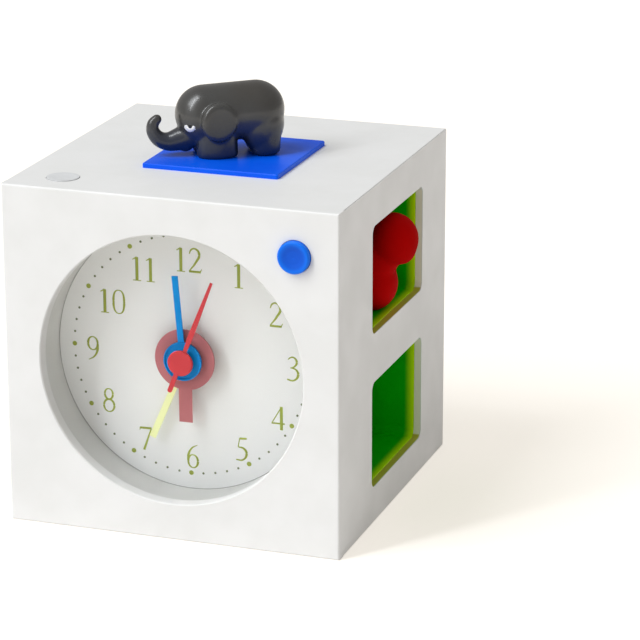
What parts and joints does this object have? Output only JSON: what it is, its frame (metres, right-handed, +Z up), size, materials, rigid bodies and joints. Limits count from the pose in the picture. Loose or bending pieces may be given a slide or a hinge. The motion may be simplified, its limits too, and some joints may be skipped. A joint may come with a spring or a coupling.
{
  "type": "talking clock",
  "caption": "Cube-shaped talking alarm clock with a sunk round dial, coloured hands, a press button, side cubbies for toy animals and a stage on top.",
  "frame": {"origin": "middle of the base panel, on the face that the clock rests on", "axes": "+Z up, the dial looks along -Y, +X to the right when facing the dial"},
  "size_m": [0.1267, 0.122, 0.1485],
  "materials": {
    "white_paint": "satin white lacquer over board",
    "green_insert": "moulded green plastic",
    "blue_button": "glossy blue",
    "blue_stage": "satin blue",
    "grey_key": "pale grey",
    "dial_print": "printed off-white card",
    "white_plastic": "moulded white",
    "lens_clear": "clear",
    "rose_hand": "rose",
    "blue_hand": "blue",
    "red_hand": "red",
    "yellow_hand": "pale yellow",
    "elephant_grey": "glossy dark grey",
    "figure_red": "satin red",
    "cover_plastic": "moulded white",
    "black_plastic": "moulded black",
    "gear_plastic": "natural acetal",
    "brass": "turned",
    "steel": "plain",
    "copper_coil": "enamelled winding",
    "board_green": "circuit board",
    "paper_cone": "pressed paper",
    "cell_metal": "plain wrapped cell",
    "block_wood": "raw"
  },
  "bodies": {
    "clock_case": {"front_panel": "white_paint", "top_panel": "white_paint", "base_panel": "white_paint", "left_panel": "white_paint", "right_panel": "white_paint", "corner_blocks": "block_wood", "cubby_left_upper": "green_insert", "cubby_left_lower": "green_insert", "cubby_right_upper": "green_insert", "cubby_right_lower": "green_insert", "dial_tube": "white_plastic", "lens": "lens_clear", "dial": "dial_print", "dial_backplate": "white_plastic", "hand_nut": "brass", "movement_front_shell": "black_plastic", "movement_rear_shell": "black_plastic", "drive_coil": "copper_coil", "drive_stator": "steel", "cover_screws": "steel", "back_cover": "cover_plastic", "speaker_frame": "steel", "speaker_cone": "paper_cone", "battery_tray": "black_plastic", "battery_1": "cell_metal", "battery_2": "cell_metal", "battery_contacts": "steel", "alarm_switch": "black_plastic", "speech_board": "board_green", "board_components": "black_plastic", "front_button_guide": "white_plastic", "front_button_switch": "black_plastic", "top_key_guide": "white_plastic", "top_key_switch": "black_plastic", "figure_stage": "blue_stage"},
    "second_drive": {"second_arbor": "gear_plastic", "second_hand": "red_hand"},
    "minute_drive": {"minute_pipe": "gear_plastic", "minute_hand": "blue_hand"},
    "hour_drive": {"hour_pipe": "gear_plastic", "hour_hand": "rose_hand"},
    "alarm_drive": {"alarm_pipe": "gear_plastic", "alarm_hand": "yellow_hand"},
    "time_setter": {"setting_wheel": "gear_plastic", "time_set_shaft": "steel", "time_set_knob": "black_plastic"},
    "alarm_setter": {"alarm_pinion": "gear_plastic", "alarm_set_shaft": "steel", "alarm_set_knob": "black_plastic"},
    "front_button_cap": {"front_button": "blue_button"},
    "top_key_cap": {"top_key": "grey_key"},
    "switch_slider": {"alarm_switch_slider": "black_plastic"},
    "door": {"battery_door": "cover_plastic"},
    "elephant_toy": {"elephant": "elephant_grey"},
    "stored_toy": {"stored_figure": "figure_red"}
  },
  "joints": [
    {"name": "second_hand_turn", "type": "hinge", "parent": "clock_case", "child": "second_drive", "pos_m": [0, -0.0415, 0.0603], "axis": [0, -1, 0], "continuous": true},
    {"name": "minute_hand_turn", "type": "hinge", "parent": "clock_case", "child": "minute_drive", "pos_m": [0, -0.0415, 0.0603], "axis": [0, -1, 0], "continuous": true},
    {"name": "hour_hand_turn", "type": "hinge", "parent": "clock_case", "child": "hour_drive", "pos_m": [0, -0.0415, 0.0603], "axis": [0, -1, 0], "continuous": true},
    {"name": "time_set_turn", "type": "hinge", "parent": "clock_case", "child": "time_setter", "pos_m": [-0.01039, -0.03, 0.0543], "axis": [0, -1, 0], "continuous": true},
    {"name": "alarm_hand_turn", "type": "hinge", "parent": "clock_case", "child": "alarm_drive", "pos_m": [0, -0.0415, 0.0603], "axis": [0, -1, 0], "continuous": true},
    {"name": "alarm_set_turn", "type": "hinge", "parent": "clock_case", "child": "alarm_setter", "pos_m": [0.01039, -0.03, 0.0543], "axis": [0, -1, 0], "continuous": true},
    {"name": "front_button_press", "type": "slide", "parent": "clock_case", "child": "front_button_cap", "axis": [0, 1, 0], "range_m": [0, 0.0015], "stiffness_N_per_m": 400},
    {"name": "top_key_press", "type": "slide", "parent": "clock_case", "child": "top_key_cap", "axis": [0, 0, -1], "range_m": [0, 0.0015], "stiffness_N_per_m": 400},
    {"name": "alarm_switch_slide", "type": "slide", "parent": "clock_case", "child": "switch_slider", "axis": [0, 0, 1], "range_m": [0, 0.004]},
    {"name": "battery_door_lift", "type": "slide", "parent": "clock_case", "child": "door", "axis": [0, 1, 0], "range_m": [0, 0.03]},
    {"name": "elephant_lift", "type": "slide", "parent": "clock_case", "child": "elephant_toy", "axis": [0, 0, 1], "range_m": [0, 0.04]},
    {"name": "stored_figure_slide", "type": "slide", "parent": "clock_case", "child": "stored_toy", "axis": [1, 0, 0], "range_m": [0, 0.04]}
  ],
  "couplings": [
    {"joint": "hour_hand_turn", "follows": "time_set_turn", "ratio": -0.25},
    {"joint": "minute_hand_turn", "follows": "time_set_turn", "ratio": -3},
    {"joint": "alarm_hand_turn", "follows": "alarm_set_turn", "ratio": -0.5}
  ]
}
